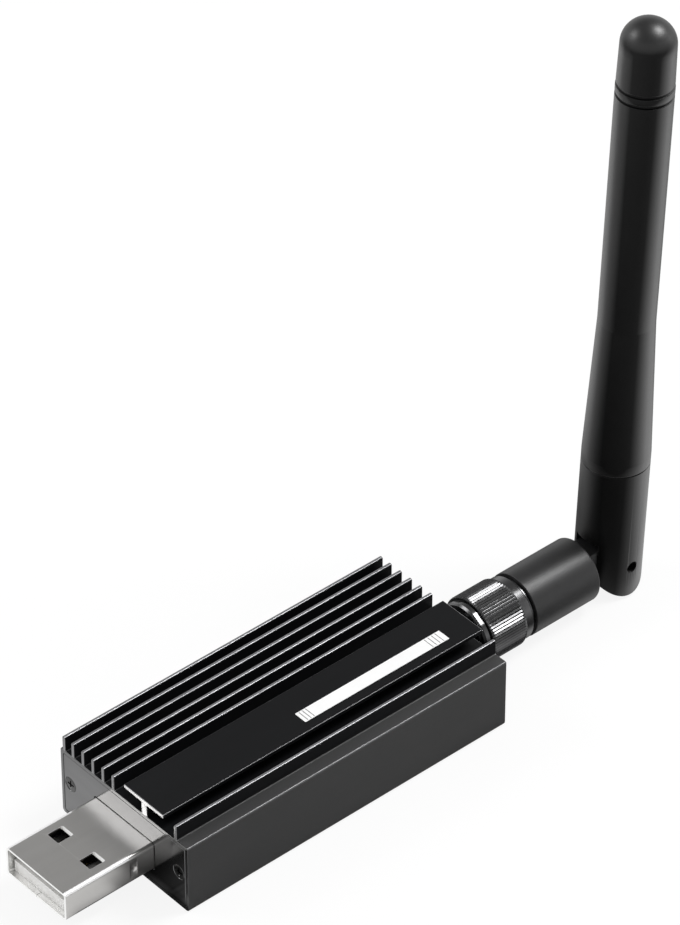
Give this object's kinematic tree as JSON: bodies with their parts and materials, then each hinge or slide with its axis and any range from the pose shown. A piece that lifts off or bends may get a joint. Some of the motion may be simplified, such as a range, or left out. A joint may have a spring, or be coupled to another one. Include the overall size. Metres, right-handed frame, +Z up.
{
  "type": "usb radio stick with folding antenna",
  "caption": "USB radio stick: finned aluminium housing with a USB-A plug at one end and a knurled coaxial nut with a folding, swivelling rod antenna at the other.",
  "frame": {"origin": "centre of the flat underside of the housing", "axes": "+X along the housing towards the antenna, the USB plug points to -X; +Z up, away from the surface that the housing lies on; +Y to the side of the row of fins"},
  "size_m": [0.1068, 0.0254, 0.0909],
  "materials": {
    "anodised_housing": "black anodised, satin",
    "end_plate_metal": "black anodised, smooth",
    "black_screw_steel": "black oxide",
    "nickel_plate": "bright nickel",
    "plug_plastic": "white moulded",
    "contact_gold": "gold plated",
    "board_laminate": "solder mask",
    "chip_epoxy": "moulded epoxy",
    "crystal_can": "nickel silver",
    "capacitor_ceramic": "ceramic",
    "resistor_ceramic": "ceramic",
    "gold_brass": "gold plated",
    "white_insulator": "fluoropolymer",
    "label_film": "printed film",
    "black_nickel": "black nickel plated",
    "spring_bronze": "bare",
    "antenna_plastic": "fine satin",
    "pin_steel": "bare",
    "antenna_rubber": "matte",
    "cable_jacket": "extruded",
    "copper_wire": "bare copper"
  },
  "bodies": {
    "stick_body": {"housing_extrusion": "anodised_housing", "front_end_plate": "end_plate_metal", "rear_end_plate": "end_plate_metal", "front_plate_screws": "black_screw_steel", "rear_plate_screws": "black_screw_steel", "usb_shell": "nickel_plate", "usb_insulator": "plug_plastic", "usb_contacts": "contact_gold", "circuit_board": "board_laminate", "radio_chip": "chip_epoxy", "usb_serial_chip": "chip_epoxy", "voltage_regulator": "chip_epoxy", "radio_crystal": "crystal_can", "clock_crystal": "crystal_can", "esd_array": "chip_epoxy", "ceramic_capacitors": "capacitor_ceramic", "chip_resistors": "resistor_ceramic", "rf_inductors": "resistor_ceramic", "sma_jack_body": "black_nickel", "sma_jack_insulator": "white_insulator", "sma_jack_contact": "contact_gold", "sma_lock_washer": "black_nickel", "sma_hex_nut": "black_nickel", "label_strip": "label_film", "antenna_plug_body": "black_nickel", "antenna_plug_insulator": "white_insulator", "antenna_plug_pin": "contact_gold", "retaining_ring": "spring_bronze"},
    "coupling": {"coupling_nut": "black_nickel"},
    "antenna_base": {"swivel_barrel": "antenna_plastic", "feed_cable_lower": "cable_jacket"},
    "antenna_stick": {"stick_knuckle": "antenna_plastic", "hinge_pins": "pin_steel", "antenna_sleeve": "antenna_rubber", "feed_cable_upper": "cable_jacket", "radiator_sleeve": "gold_brass", "radiator_whip": "copper_wire"}
  },
  "joints": [
    {"name": "coupling_spin", "type": "hinge", "parent": "stick_body", "child": "coupling", "pos_m": [0.036, 0, 0.0051], "axis": [1, 0, 0], "continuous": true},
    {"name": "antenna_swivel", "type": "hinge", "parent": "stick_body", "child": "antenna_base", "pos_m": [0.046, 0, 0.0051], "axis": [1, 0, 0], "continuous": true},
    {"name": "antenna_elbow", "type": "hinge", "parent": "antenna_base", "child": "antenna_stick", "pos_m": [0.05765, 0, 0.0051], "axis": [0, 1, 0], "range_deg": [-2.6, 87.4]}
  ]
}
